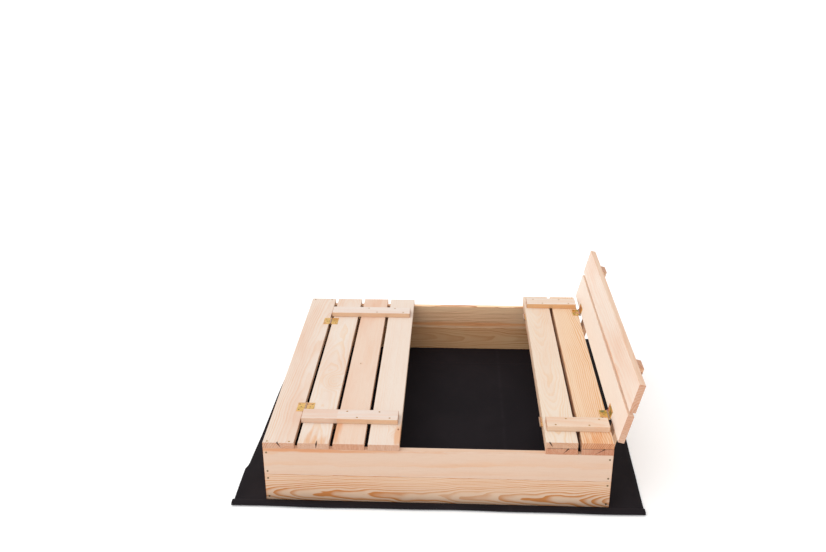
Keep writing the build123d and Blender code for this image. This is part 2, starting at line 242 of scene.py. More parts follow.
def new_finish(name, group, bump_strength, bump_distance, axes=None):
    """A Principled material painted by a shader group. Hands back the material, the group's node and the shader.

    axes is a place and a turn, for a group that works in a board's own axes.
    """
    material = bpy.data.materials.new(name)
    material.use_nodes = True
    tree = material.node_tree
    shader = tree.nodes["Principled BSDF"]
    place = tree.nodes.new("ShaderNodeTexCoord").outputs["Object"]
    if axes:
        own_axes = tree.nodes.new("ShaderNodeMapping")
        own_axes.vector_type = "TEXTURE"
        own_axes.inputs["Location"].default_value, own_axes.inputs["Rotation"].default_value = axes
        tree.links.new(place, own_axes.inputs["Vector"])
        place = own_axes.outputs["Vector"]
    painter = tree.nodes.new("ShaderNodeGroup")
    painter.node_tree = group
    bump = tree.nodes.new("ShaderNodeBump")
    bump.inputs["Strength"].default_value = bump_strength
    bump.inputs["Distance"].default_value = bump_distance
    tree.links.new(place, painter.inputs["Place"])
    tree.links.new(painter.outputs["Height"], bump.inputs["Height"])
    tree.links.new(painter.outputs["Color"], shader.inputs["Base Color"])
    tree.links.new(painter.outputs["Roughness"], shader.inputs["Roughness"])
    tree.links.new(bump.outputs["Normal"], shader.inputs["Normal"])
    return material, painter, shader


def dress(piece, material):
    """Puts one material on every face of a piece."""
    if not piece.material_slots:
        piece.data.materials.append(material)
    for slot in piece.material_slots:
        slot.material = material


def settle(maker, name):
    """A plain object in the shape that the maker's modifiers give it. The maker itself goes."""
    evaluated = maker.evaluated_get(bpy.context.evaluated_depsgraph_get())
    piece = bpy.data.objects.new(name, bpy.data.meshes.new_from_object(evaluated))
    scene.collection.objects.link(piece)
    bpy.data.objects.remove(maker)
    return piece


print("helpers ready")

# %% [markdown]
# ## Pine, from the tree outwards
# A board's grain is a slice through the yearly rings of a trunk. So the finish is a solid one: it measures how far
# each point lies from the middle of the trunk, the pith, and turns that distance into rings, pale early wood that
# darkens to a thin orange band of late wood. A trunk that tapers makes the tall arches on a flat face, a wandering
# pith makes ovals, and a branch pushes the rings aside round a knot. Faces, edges and end grain then agree with
# each other by themselves, which a flat picture on each side could never do.

# %% The pine group
pine_inputs = {
    "Place": ("Vector", (0, 0, 0)),
    "Half Size": ("Vector", (0.054, 0.6, 0.011)),
    "Pith": ("Vector", (0.0, 0.0, -0.06)),
    "Ring Width": ("Float", 0.005),
    "Taper": ("Float", 0.02),
    "Wander": ("Float", 0.008),
    "Late Wood": ("Float", 0.4),
    "Seed": ("Float", 0.0),
    "Knot": ("Vector", (0.0, 9.0, 0.0)),
    "Knot Core": ("Float", 0.002),
    "Knot Reach": ("Float", 0.03),
    "Check": ("Vector", (0.0, 0.0, 0.0)),
    "Seam": ("Float", 9.0),
    "Pale": ("Color", (0.75, 0.65, 0.55, 1)),
    "Amber": ("Color", (0.6, 0.35, 0.18, 1)),
    "Blush": ("Float", 0.3),
    "Side Tone And Shade": ("Float", 0.3),
    "Streak": ("Vector", (0.0, 9.0, 0.1)),
    "Streak Width": ("Float", 0.01),
}
finish_outputs = {"Color": "Color", "Roughness": "Float", "Height": "Float"}
tree, given, result = new_group("planed pine", pine_inputs, finish_outputs)
place = given["Place"]
x, y, z = split(tree, place)
half_x, half_y, half_z = split(tree, given["Half Size"])
pith_x, _, pith_z = split(tree, given["Pith"])
shift = vector_calc(tree, "SCALE", (17.3, 5.1, 9.7))
wire(tree, shift.node.inputs["Scale"], given["Seed"])
moved = vector_calc(tree, "ADD", place, shift)
print("pine group has", len(pine_inputs), "inputs")

# %% [markdown]
# The distance to the pith comes first. Broad noise makes the pith wander, fine noise makes each ring ripple, and a
# batten glued from two lengths jumps to another part of the trunk at its seam. A seam more than five metres off
# means that there is none. Round a knot the rings are pushed outwards.

# %% Distance from the pith
no_seam, seam_jump = 5.0, 0.0437
has_seam = calc(tree, "LESS_THAN", given["Seam"], no_seam)
before_seam = product(tree, calc(tree, "GREATER_THAN", given["Seam"], y), has_seam)
radius = distance(tree, calc(tree, "SUBTRACT", x, pith_x), calc(tree, "SUBTRACT", z, pith_z))
radius = calc(tree, "MULTIPLY_ADD", y, given["Taper"], radius)
slow = calc(tree, "SUBTRACT", mottle(tree, moved, (5.0, 2.3, 5.0), detail=3.0), 0.5)
radius = calc(tree, "MULTIPLY_ADD", slow, product(tree, given["Wander"], 3.0), radius)
ripple = calc(tree, "SUBTRACT", mottle(tree, moved, (60, 14, 60)), 0.5)
radius = calc(tree, "MULTIPLY_ADD", ripple, product(tree, given["Ring Width"], 0.55), radius)
radius = calc(tree, "MULTIPLY_ADD", before_seam, seam_jump, radius)

knot_stretch, knot_unevenness, knot_push = 0.55, 0.004, 0.55
knot_x, knot_y, _ = split(tree, given["Knot"])
from_knot_y = product(tree, calc(tree, "SUBTRACT", y, knot_y), knot_stretch)
from_knot = distance(tree, calc(tree, "SUBTRACT", x, knot_x), from_knot_y)
from_knot = calc(tree, "ADD", from_knot, product(tree, ripple, knot_unevenness))
push = inverse(tree, smooth_step(tree, from_knot, 0.0, given["Knot Reach"]))
radius = calc(tree, "MULTIPLY_ADD", push, product(tree, given["Knot Reach"], knot_push), radius)
print("rings follow", len(tree.nodes), "nodes so far")

# %% [markdown]
# Divided by the ring width, the distance counts years. What is left over is the season: late wood darkens slowly
# through the summer and ends sharply. White noise gives each year its own strength.

# %% Rings, fibres and blush
turns = calc(tree, "DIVIDE", radius, given["Ring Width"])
year = calc(tree, "FLOOR", turns)
season = calc(tree, "FRACT", turns)
winter = inverse(tree, smooth_step(tree, season, 0.93, 1.0))
darkening = product(tree, smooth_step(tree, season, 0.25, 0.9), winter)
luck = tree.nodes.new("ShaderNodeTexWhiteNoise")
luck.noise_dimensions = "1D"
wire(tree, luck.inputs["W"], calc(tree, "ADD", year, given["Seed"]))
patchy = smooth_step(tree, mottle(tree, moved, (9, 2.2, 9)), 0.3, 0.68)
year_strength = calc(tree, "MULTIPLY_ADD", luck.outputs["Value"], 0.65, 0.35)
late = product(tree, product(tree, darkening, year_strength), calc(tree, "MULTIPLY_ADD", patchy, 0.6, 0.4))
late = calc(tree, "MULTIPLY", late, given["Late Wood"], clamp=True)

fibre = mottle(tree, moved, (900, 16, 900), roughness=0.6)
pores = smooth_step(tree, mottle(tree, moved, (1400, 60, 1400), detail=1.0), 0.63, 0.78)
blush = smooth_step(tree, mottle(tree, moved, (7, 1.5, 14), detail=3.0), 0.42, 0.75)
colour = tint(tree, late, given["Pale"], given["Amber"])
colour = darken_by(tree, product(tree, blush, given["Blush"]), colour, (0.96, 0.80, 0.69))
colour = darken_by(tree, product(tree, smooth_step(tree, fibre, 0.45, 0.8), 0.28), colour, (0.93, 0.86, 0.78))
colour = darken_by(tree, product(tree, pores, 0.16), colour, (0.72, 0.56, 0.42))
colour = darken_by(tree, before_seam, colour, (0.995, 0.965, 0.945))
print("ring colours follow", len(tree.nodes), "nodes so far")

# %% [markdown]
# Resin gathers in long soft streaks, so a streak is an ellipse with a ragged rim. The sides of a board are
# darkened and warmed: partly the warmer tone of sawn wood, partly painted shade on those side faces.

# %% Resin, sides and knot
streak_rag, streak_strength = 1.4, 0.8
streak_x, streak_y, streak_length = split(tree, given["Streak"])
streak_across = calc(tree, "DIVIDE", calc(tree, "SUBTRACT", x, streak_x), given["Streak Width"])
streak_along = calc(tree, "DIVIDE", calc(tree, "SUBTRACT", y, streak_y), streak_length)
ragged = calc(tree, "SUBTRACT", mottle(tree, moved, (90, 9, 90), detail=3.0), 0.5)
from_streak = calc(tree, "MULTIPLY_ADD", ragged, streak_rag, distance(tree, streak_across, streak_along))
resin = inverse(tree, smooth_step(tree, from_streak, 0.35, 1.1))

past_side = calc(tree, "SUBTRACT", calc(tree, "ABSOLUTE", x), half_x)
on_side = smooth_step(tree, past_side, -0.0012, -0.0003)
# Painted shade with the sawn tone: each side face is darkened and warmed by a strength set for its board.
side_tone_and_shade = product(tree, given["Side Tone And Shade"], calc(tree, "MULTIPLY_ADD", before_seam, -0.6, 1.0))
colour = darken_by(tree, product(tree, on_side, side_tone_and_shade), colour, (0.99, 0.83, 0.61))

core_rim = product(tree, given["Knot Core"], 0.6)
core = inverse(tree, smooth_step(tree, from_knot, core_rim, given["Knot Core"]))
colour = darken_by(tree, product(tree, push, 0.22), colour, (0.95, 0.82, 0.68))
colour = tint(tree, product(tree, core, 0.85), colour, shown(0.55, 0.34, 0.20))
print("resin and knot follow", len(tree.nodes), "nodes so far")

# %% [markdown]
# End grain drinks light too, and the saw leaves upright lines in it. A check is a crack that opens as a board
# dries: widest at the end and the face, and closed within a centimetre or two. Its dark fill is painted shade for
# the depth of the crack. The long edges are darkened in patches: handling dirt with painted shade along them.

# %% End grain, checks and edges
from_end = calc(tree, "SUBTRACT", half_y, calc(tree, "ABSOLUTE", y))
end_grain = inverse(tree, smooth_step(tree, from_end, 0.0003, 0.0014))
saw_lines = mottle(tree, moved, (700, 4, 40), detail=1.0)
end_colour = darken_by(tree, calc(tree, "MULTIPLY_ADD", late, 0.7, 0.6), colour, (0.85, 0.65, 0.50))
sawn = product(tree, smooth_step(tree, saw_lines, 0.35, 0.75), 0.35)
end_colour = darken_by(tree, sawn, end_colour, (0.78, 0.62, 0.52))
colour = darken_by(tree, product(tree, resin, streak_strength), colour, (0.965, 0.80, 0.65))
colour = tint(tree, end_grain, colour, end_colour)

check_opening, check_jag = 0.0032, 0.0022
check_x, check_lean, check_length = split(tree, given["Check"])
run_in = calc(tree, "DIVIDE", calc(tree, "ADD", y, half_y), calc(tree, "MAXIMUM", check_length, 0.0001))
opening = product(tree, calc(tree, "GREATER_THAN", check_length, 0.0), check_opening)
check_half = product(tree, inverse(tree, run_in, clamp=True), opening)
closing = calc(tree, "MULTIPLY_ADD", calc(tree, "DIVIDE", z, half_z), 0.6, 0.5, clamp=True)
check_half = product(tree, check_half, closing)
check_line = calc(tree, "MULTIPLY_ADD", z, check_lean, check_x)
jagged = calc(tree, "SUBTRACT", mottle(tree, moved, (420, 420, 420), detail=3.0), 0.5)
check_line = calc(tree, "MULTIPLY_ADD", jagged, check_jag, check_line)
from_check = calc(tree, "ABSOLUTE", calc(tree, "SUBTRACT", x, check_line))
checked = calc(tree, "LESS_THAN", from_check, check_half)
# Painted shade: the check is filled with dark brown for the shade deep in the crack.
colour = tint(tree, product(tree, checked, 0.93), colour, shown(0.22, 0.12, 0.08))

# Painted shade with dirt: the long edges are darkened in patches, for handling dirt and for shade along the edges.
near_x = calc(tree, "SUBTRACT", half_x, calc(tree, "ABSOLUTE", x))
near_z = calc(tree, "SUBTRACT", half_z, calc(tree, "ABSOLUTE", z))
edge = inverse(tree, smooth_step(tree, calc(tree, "MAXIMUM", near_x, near_z), 0.0003, 0.0022))
edge_dirt_and_shade = product(tree, edge, smooth_step(tree, mottle(tree, moved, (40, 25, 40), detail=3.0), 0.35, 0.7))
colour = darken_by(tree, product(tree, edge_dirt_and_shade, 0.45), colour, (0.90, 0.74, 0.60))

wire(tree, result["Color"], colour)
dry_end = calc(tree, "MULTIPLY_ADD", end_grain, 0.15, 0.46)
wire(tree, result["Roughness"], calc(tree, "MULTIPLY_ADD", fibre, 0.2, dry_end))
raised = calc(tree, "MULTIPLY_ADD", fibre, 0.35, product(tree, late, 0.5))
saw_marks = product(tree, end_grain, product(tree, saw_lines, 0.8))
sunken = calc(tree, "MULTIPLY_ADD", pores, 0.25, calc(tree, "MULTIPLY_ADD", checked, 1.5, saw_marks))
wire(tree, result["Height"], calc(tree, "SUBTRACT", raised, sunken))
pine_group = tree
print("pine group:", len(tree.nodes), "nodes")

# %% [markdown]
# ## One material for each board
# Every board was cut from another log, so each has its own pith, ring width and tone. A Mapping node turns the
# model's axes into the board's own: x across its width, y along its length, z through its thickness. The leaning
# backrest boards get the same treatment through their lean. Boards that are seen best have their values listed,
# and the others draw theirs from a seeded generator, so every run gives the same timber.

# %% How each board lies
lean = math.radians(90 - joints["right_back_fold"]["range_deg"][1])
lean_up = Vector((math.sin(lean), 0, math.cos(lean)))
east, north, up = Vector((1, 0, 0)), Vector((0, 1, 0)), Vector((0, 0, 1))


def lie_of(name):
    """The directions of a board's width and of its length."""
    leaning = name.startswith("right_back")
    if "batten" in name:
        return (north, lean_up) if leaning else (-north, east)
    if leaning:
        return lean_up, north
    if name.startswith(("front_wall", "rear_wall")):
        return up, east
    if "_wall_" in name:
        return up, north
    return east, north


def measure_board(name):
    """Middle, turn and half sizes of a board in its own axes."""
    width, length = lie_of(name)
    turn = Matrix((width, length, width.cross(length))).transposed()
    points = np.empty(len(nodes[name].data.vertices) * 3)
    nodes[name].data.vertices.foreach_get("co", points)
    own = points.reshape(-1, 3) @ np.array(turn)
    low, high = own.min(0), own.max(0)
    return turn @ Vector((low + high) / 2), turn.to_euler("XYZ"), Vector((high - low) / 2)


print("the open backrest leans", round(math.degrees(lean), 2), "degrees")

# %% [markdown]
# The table below holds what the well-seen boards show. Pith is the trunk's middle beside and below the board's
# own middle, so a near pith gives curved arches and a far one gives straight lines. A knot is its place, core and
# reach. A check is its place, its lean through the thickness and how far it runs in from the near end. A streak is
# its middle, half length and half width. Seam is where a batten is glued, and side how far its sides are darkened
# and warmed, by the tone of sawn wood and by painted shade. A board without a knot, a streak or a seam gets one
# that is far off, metres beyond its end.

# %% Timber table
cream, peach, straw = (0.95, 0.887, 0.832), (0.945, 0.845, 0.77), (0.955, 0.86, 0.735)
snow, honey = (0.965, 0.905, 0.85), (0.93, 0.83, 0.73)
rust, apricot, toffee = (0.86, 0.60, 0.40), (0.93, 0.72, 0.54), (0.80, 0.50, 0.28)
timber = {
    "left_fixed_board": dict(
        pith=(0.045, -0.05), ring=0.0065, taper=0.02, wander=0.010, late=0.8,
        pale=cream, amber=apricot, check=(0.004, -0.65, 0.010),
    ),
    "left_seat_board": dict(
        pith=(0.0, -0.07), ring=0.006, taper=0.035, wander=0.014, late=0.65,
        pale=cream, amber=(0.95, 0.77, 0.58), knot=(0.015, -0.165, 0.0012, 0.055), check=(0.010, 0.1, 0.022),
        streak=(0.0, -0.66, 0.16, 0.06),
    ),
    "left_back_board_outer": dict(
        pith=(-0.16, -0.03), ring=0.004, taper=0.004, wander=0.004, late=0.6,
        pale=peach, amber=apricot, knot=(-0.013, -0.022, 0.002, 0.012), blush=0.8,
        streak=(-0.050, -0.51, 0.13, 0.020),
    ),
    "left_back_board_inner": dict(
        pith=(0.20, -0.05), ring=0.0045, taper=0.002, wander=0.003, late=0.4,
        pale=cream, amber=apricot, knot=(0.045, -0.50, 0.0035, 0.045), streak=(0.048, -0.53, 0.09, 0.022),
    ),
    "right_seat_board_inner": dict(
        pith=(-0.004, -0.035), ring=0.0055, taper=-0.05, wander=0.016, late=0.62,
        pale=(0.945, 0.88, 0.81), amber=(0.935, 0.78, 0.60), blush=0.25, check=(-0.035, -0.6, 0.006),
    ),
    "right_seat_board_outer": dict(
        pith=(0.085, -0.034), ring=0.0064, taper=-0.016, wander=0.018, late=1.05,
        pale=(0.955, 0.85, 0.735), amber=(0.89, 0.64, 0.38), blush=0.2, streak=(0.0, -0.665, 0.19, 0.07),
    ),
    "right_fixed_board_inner": dict(
        pith=(0.0, 0.02), ring=0.004, taper=0.01, wander=0.004, late=1.0,
        pale=peach, amber=rust, check=(0.012, 0.9, 0.008),
    ),
    "right_fixed_board_outer": dict(
        pith=(0.004, 0.004), ring=0.0035, taper=0.01, wander=0.004, late=1.2,
        pale=peach, amber=toffee, check=(0.004, 1.6, 0.008),
    ),
    "right_back_board_lower": dict(
        pith=(0.15, -0.04), ring=0.006, taper=0.01, wander=0.005, late=0.3,
        pale=snow, amber=(0.95, 0.82, 0.70),
    ),
    "right_back_board_upper": dict(
        pith=(-0.05, -0.05), ring=0.010, taper=0.012, wander=0.008, late=0.6,
        pale=snow, amber=(0.94, 0.78, 0.66), streak=(-0.055, -0.20, 0.40, 0.010),
    ),
    "front_wall_upper": dict(
        pith=(0.055, 0.050), ring=0.030, taper=0.010, wander=0.010, late=0.45,
        pale=(0.90, 0.78, 0.69), amber=(0.90, 0.66, 0.46), blush=0.12, streak=(0.047, -0.40, 0.40, 0.009),
    ),
    "front_wall_lower": dict(
        pith=(-0.026, 0.030), ring=0.0054, taper=-0.042, wander=0.0165, late=1.6,
        pale=(0.92, 0.795, 0.685), amber=(0.83, 0.545, 0.31), blush=0.15,
    ),
    # Painted light: the upper rear wall's pale tone is set above white, so its inner face, shaded in the pit, shows
    # lighter.
    "rear_wall_upper": dict(
        pith=(-0.062, -0.022), ring=0.0066, taper=0.012, wander=0.013, late=1.2,
        pale=(1.07, 0.93, 0.765), amber=(0.72, 0.42, 0.19), streak=(-0.035, 0.1, 0.45, 0.014),
    ),
    "rear_wall_lower": dict(
        pith=(0.0, -0.05), ring=0.0065, taper=0.02, wander=0.018, late=1.3,
        pale=(0.96, 0.79, 0.60), amber=(0.80, 0.50, 0.27),
    ),
    "left_back_batten_front": dict(
        pith=(-0.03, -0.05), ring=0.012, taper=0.01, wander=0.006, late=0.45,
        pale=(0.94, 0.88, 0.835), amber=(0.95, 0.78, 0.68), seam=-0.045, side=0.62,
    ),
    "left_back_batten_rear": dict(
        pith=(0.03, -0.05), ring=0.010, taper=0.01, wander=0.005, late=0.4,
        pale=(0.945, 0.885, 0.84), amber=(0.95, 0.78, 0.68), side=0.6,
    ),
    "right_seat_batten_front": dict(
        pith=(0.02, -0.06), ring=0.009, taper=0.01, wander=0.006, late=0.5,
        pale=(0.94, 0.86, 0.78), amber=apricot, side=0.2,
    ),
    "right_seat_batten_rear": dict(
        pith=(0.0, -0.05), ring=0.008, taper=0.01, wander=0.006, late=0.5,
        pale=(0.94, 0.875, 0.82), amber=apricot, side=0.85,
    ),
}
print("hand-picked boards:", len(timber))

# %% [markdown]
# The boards get their materials in the order of their names, so each one draws the same values in every run. The
# darker, warmer sides, sawn tone with painted shade, are strongest on the battens, and the walls show none.

# %% Dress the boards
draw = random.Random(41)
pine_in_shade, far_off = 0.86, 9.0
no_knot, no_streak = (0.0, far_off, 0.002, 0.03), (0.0, far_off, 0.1, 0.01)


def usual_timber():
    """Values for a board that nobody looks at twice."""
    side = draw.choice((-1, 1))
    return dict(
        pith=(side * draw.uniform(0.0, 0.12), -draw.uniform(0.03, 0.08)),
        ring=draw.uniform(0.0045, 0.009),
        taper=draw.uniform(-0.03, 0.03),
        wander=draw.uniform(0.005, 0.014),
        late=draw.uniform(0.5, 1.1),
        pale=draw.choice((cream, peach, straw, honey)),
        amber=draw.choice((rust, apricot, toffee)),
        knot=(draw.uniform(-0.03, 0.03), draw.uniform(-0.5, 0.5), draw.uniform(0.003, 0.007), 0.04),
    )


def dim(colour):
    """Paint for a surface that stands in bright light: a little darker than it looks."""
    return tuple(v * pine_in_shade for v in shown(*colour)[:3]) + (1.0,)


def usual_side_tone_and_shade(name):
    """How far a board's sides are darkened and warmed, sawn tone and painted shade, when the table doesn't say."""
    return 0.5 if "batten" in name else 0.0 if "wall" in name else 0.3


def pine_material(name, wood):
    """Pine for one board, painted by the pine group in the board's own axes."""
    middle, turn, half = measure_board(name)
    material, grain, shader = new_finish("pine " + name.replace("_", " "), pine_group, 0.35, 0.0006, (middle, turn))
    knot, streak = wood.get("knot", no_knot), wood.get("streak", no_streak)
    settings = {
        "Half Size": half,
        "Pith": (wood["pith"][0], 0.0, wood["pith"][1]),
        "Ring Width": wood["ring"],
        "Taper": wood["taper"],
        "Wander": wood["wander"],
        "Late Wood": wood["late"],
        "Seed": draw.uniform(0, 9),
        "Knot": (knot[0], knot[1], 0.0),
        "Knot Core": knot[2],
        "Knot Reach": knot[3],
        "Check": wood.get("check", (0.0, 0.0, 0.0)),
        "Seam": wood.get("seam", far_off),
        "Pale": dim(wood["pale"]),
        "Amber": dim(wood["amber"]),
        "Blush": wood.get("blush", 0.45),
        "Streak": streak[:3],
        "Streak Width": streak[3],
        "Side Tone And Shade": wood.get("side", usual_side_tone_and_shade(name)),
    }
    for label, value in settings.items():
        grain.inputs[label].default_value = value
    shader.inputs["Specular IOR Level"].default_value = 0.3
    return material


board_names = sorted(n for n in nodes if "hinge" not in n and "screw" not in n and n != "ground_sheet")
for name in board_names:
    dress(nodes[name], pine_material(name, timber.get(name) or usual_timber()))
print("dressed", len(board_names), "boards and battens")

# %% [markdown]
# ## Yellow zinc
# The hinges are cheap pressed steel with a yellow passivated coat. That film is so thin that it shows patches of
# pink, green and violet over the gold. A cloudy noise run through a colour ramp gives those patches without
# depending on where the viewer stands, and a second, finer noise scuffs the gloss. The knuckles are rubbed paler,
# and grime lies in spots over all of it.

# %% Metal group and materials
metal_inputs = {
    "Place": ("Vector", (0, 0, 0)),
    "Patch Size": ("Float", 0.02),
    "Film": ("Float", 1.0),
    "Base": ("Color", shown(0.93, 0.75, 0.42)),
    "Grime": ("Color", shown(0.35, 0.27, 0.20)),
    "Axis": ("Vector", (9.0, 0.0, 9.0)),
    "Knuckle": ("Color", shown(0.72, 0.62, 0.62)),
}
tree, given, result = new_group("coated steel", metal_inputs, finish_outputs)
place = given["Place"]
cloud = mottle(tree, vector_calc(tree, "DIVIDE", place, given["Patch Size"]), (1, 1, 1), detail=3.0, roughness=0.6)
film = tree.nodes.new("ShaderNodeValToRGB")
wire(tree, film.inputs["Fac"], cloud)
film_colours = (
    (0.30, (0.50, 0.38, 0.52)),
    (0.40, (0.90, 0.56, 0.46)),
    (0.47, (0.96, 0.78, 0.44)),
    (0.56, (0.86, 0.70, 0.30)),
    (0.64, (0.50, 0.50, 0.20)),
    (0.72, (0.42, 0.58, 0.46)),
)
while len(film.color_ramp.elements) < len(film_colours):
    film.color_ramp.elements.new(0.5)
for element, (position, film_colour) in zip(film.color_ramp.elements, film_colours):
    element.position = position
    element.color = shown(*film_colour)
colour = tint(tree, given["Film"], given["Base"], film.outputs["Color"])

from_axis = vector_calc(tree, "MULTIPLY", vector_calc(tree, "SUBTRACT", place, given["Axis"]), (1, 0, 1))
on_knuckle = inverse(tree, smooth_step(tree, vector_calc(tree, "LENGTH", from_axis, out=1), 0.0030, 0.0042))
rubbed = product(tree, on_knuckle, calc(tree, "MULTIPLY_ADD", cloud, 1.2, 0.1, clamp=True))
colour = tint(tree, rubbed, colour, given["Knuckle"])
scuff = mottle(tree, place, (900, 900, 900), detail=3.0)
dirt = smooth_step(tree, mottle(tree, place, (120, 120, 120), detail=4.0, roughness=0.6), 0.50, 0.72)
wire(tree, result["Color"], tint(tree, product(tree, dirt, 0.55), colour, given["Grime"]))
scuffed = calc(tree, "MULTIPLY_ADD", scuff, 0.25, 0.2)
wire(tree, result["Roughness"], calc(tree, "MULTIPLY_ADD", dirt, 0.3, scuffed))
wire(tree, result["Height"], calc(tree, "SUBTRACT", scuff, dirt))
metal_group = tree


def metal_material(name, patch, film_share, base, grime, axis=None):
    """Coated steel, patch metres across between colours of the film, and paler at a knuckle's axis."""
    material, coat, shader = new_finish(name, metal_group, 0.25, 0.0002)
    settings = {"Patch Size": patch, "Film": film_share, "Base": shown(*base), "Grime": shown(*grime)}
    if axis:
        settings["Axis"] = axis
    for label, value in settings.items():
        coat.inputs[label].default_value = value
    shader.inputs["Metallic"].default_value = 0.95
    return material


pin_zinc = metal_material("bright zinc pin", 0.01, 0.45, (0.80, 0.76, 0.72), (0.40, 0.36, 0.33))
batten_screw_zinc = metal_material("golden brown screws", 0.004, 0.25, (0.74, 0.56, 0.32), (0.28, 0.19, 0.12))
wall_screw_zinc = metal_material("dull dark screws", 0.004, 0.15, (0.42, 0.38, 0.32), (0.14, 0.12, 0.10))
hinge_screw_zinc = metal_material("hinge screws", 0.003, 0.35, (0.46, 0.41, 0.34), (0.12, 0.11, 0.10))
gold, patchy_gold = (0.05, 0.3, (0.99, 0.81, 0.52)), (0.030, 0.85, (0.78, 0.61, 0.40))
hinge_names = sorted(n for n in nodes if "hinge" in n and "screws" not in n)
for line in ("left_seat_hinge", "left_back_hinge", "right_seat_hinge", "right_back_hinge"):
    axis = sum(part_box(line + "_front_pin"), Vector()) / 2
    film_kind = patchy_gold if line == "right_back_hinge" else gold
    coat = metal_material("yellow zinc " + line.replace("_", " "), *film_kind, (0.45, 0.33, 0.22), axis)
    for name in hinge_names:
        if name.startswith(line):
            dress(nodes[name], pin_zinc if name.endswith("pin") else coat)
print("coated", len(hinge_names), "hinge pieces")

# %% [markdown]
# ## Screws
# A countersunk wood screw has a flat head with a cross recess, a cone below it and a thread that runs out to a
# point. One screw is made in Geometry Nodes: a cylinder whose points are pushed in and out along a helix for the
# thread, and a cone with a cross cut out of it for the head. The tree then sets one at each place, turned by a
# stored angle, because nobody stops every screw at the same angle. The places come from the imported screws: each
# separate island of their mesh gives a line and a head end.

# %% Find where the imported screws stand
def screw_places(name):
    """For each screw in a node: its head's middle, the direction out of the head, head radius and length.

    The head is the end whose last half millimetre is the wider one.
    """
    end_slice = 5e-4
    solid = bmesh.new()
    solid.from_mesh(nodes[name].data)
    bmesh.ops.remove_doubles(solid, verts=solid.verts, dist=1e-6)
    solid.verts.index_update()
    waiting, found = set(solid.verts), []
    while waiting:
        first = min(waiting, key=lambda vertex: vertex.index)
        island, edge_of_search = {first}, [first]
        while edge_of_search:
            for edge in edge_of_search.pop().link_edges:
                for vertex in edge.verts:
                    if vertex not in island:
                        island.add(vertex)
                        edge_of_search.append(vertex)
        waiting -= island
        points = np.array([vertex.co for vertex in sorted(island, key=lambda vertex: vertex.index)])
        middle = points.mean(0)
        _, _, directions = np.linalg.svd(points - middle, full_matrices=False)
        line = directions[0]
        along = (points - middle) @ line
        off_line = np.linalg.norm(points - middle - np.outer(along, line), axis=1)
        top_radius = off_line[along > along.max() - end_slice].max()
        low_radius = off_line[along < along.min() + end_slice].max()
        if low_radius > top_radius:
            line, along = -line, -along
        head = middle + line * along.max()
        found.append((head, line, off_line.max(), along.max() - along.min()))
    solid.free()
    return sorted(found, key=lambda screw: tuple(np.round(screw[0], 4)))


_, _, head_radius, length = screw_places("wall_corner_screws")[0]
print("corner screws: head radius", round(head_radius * 1000, 2), "mm, length", round(length * 1000, 1), "mm")

# %% [markdown]
# The node tree works in the screw's own axes, with the head's flat face at height zero and the point below it.

# %% The screw tree
def add_node(tree, kind, properties=None, **values):
    """A geometry node with its properties set and its named inputs filled."""
    node = tree.nodes.new(kind)
    for label, value in (properties or {}).items():
        setattr(node, label, value)
    for label, value in values.items():
        wire(tree, node.inputs[label.replace("_", " ")], value)
    return node


tree = bpy.data.node_groups.new("countersunk screws", "GeometryNodeTree")
tree.interface.new_socket("Geometry", in_out="INPUT", socket_type="NodeSocketGeometry")
for label in ("Head Radius", "Head Height", "Shank Radius", "Length", "Thread Depth", "Thread Pitch"):
    tree.interface.new_socket(label, in_out="INPUT", socket_type="NodeSocketFloat")
tree.interface.new_socket("Material", in_out="INPUT", socket_type="NodeSocketMaterial")
tree.interface.new_socket("Geometry", in_out="OUTPUT", socket_type="NodeSocketGeometry")
given = tree.nodes.new("NodeGroupInput").outputs
head_radius, head_height, shank_radius = given["Head Radius"], given["Head Height"], given["Shank Radius"]
length, depth = given["Length"], given["Thread Depth"]

shank = add_node(tree, "GeometryNodeMeshCylinder", Vertices=10, Side_Segments=36, Radius=shank_radius, Depth=length)
x, y, z = split(tree, tree.nodes.new("GeometryNodeInputPosition").outputs[0])
angle = calc(tree, "ARCTAN2", y, x)
on_wall = calc(tree, "GREATER_THAN", distance(tree, x, y), product(tree, shank_radius, 0.5))
winding = calc(tree, "ADD", calc(tree, "DIVIDE", z, given["Thread Pitch"]), calc(tree, "DIVIDE", angle, 2 * math.pi))
ridge = calc(tree, "ABSOLUTE", calc(tree, "MULTIPLY_ADD", calc(tree, "FRACT", winding), 2.0, -1.0))
from_point = calc(tree, "MULTIPLY_ADD", length, 0.5, z)
to_point = smooth_step(tree, from_point, -0.001, product(tree, shank_radius, 3.0))
radius = calc(tree, "MULTIPLY_ADD", ridge, depth, calc(tree, "SUBTRACT", shank_radius, depth))
radius = product(tree, product(tree, radius, to_point), on_wall)
below_face = 0.0004
down = calc(tree, "MULTIPLY_ADD", length, 0.5, below_face)
where = add_node(
    tree, "ShaderNodeCombineXYZ",
    X=product(tree, calc(tree, "COSINE", angle), radius),
    Y=product(tree, calc(tree, "SINE", angle), radius),
    Z=calc(tree, "SUBTRACT", z, down),
)
thread = add_node(tree, "GeometryNodeSetPosition", Geometry=shank.outputs["Mesh"], Position=where.outputs[0])

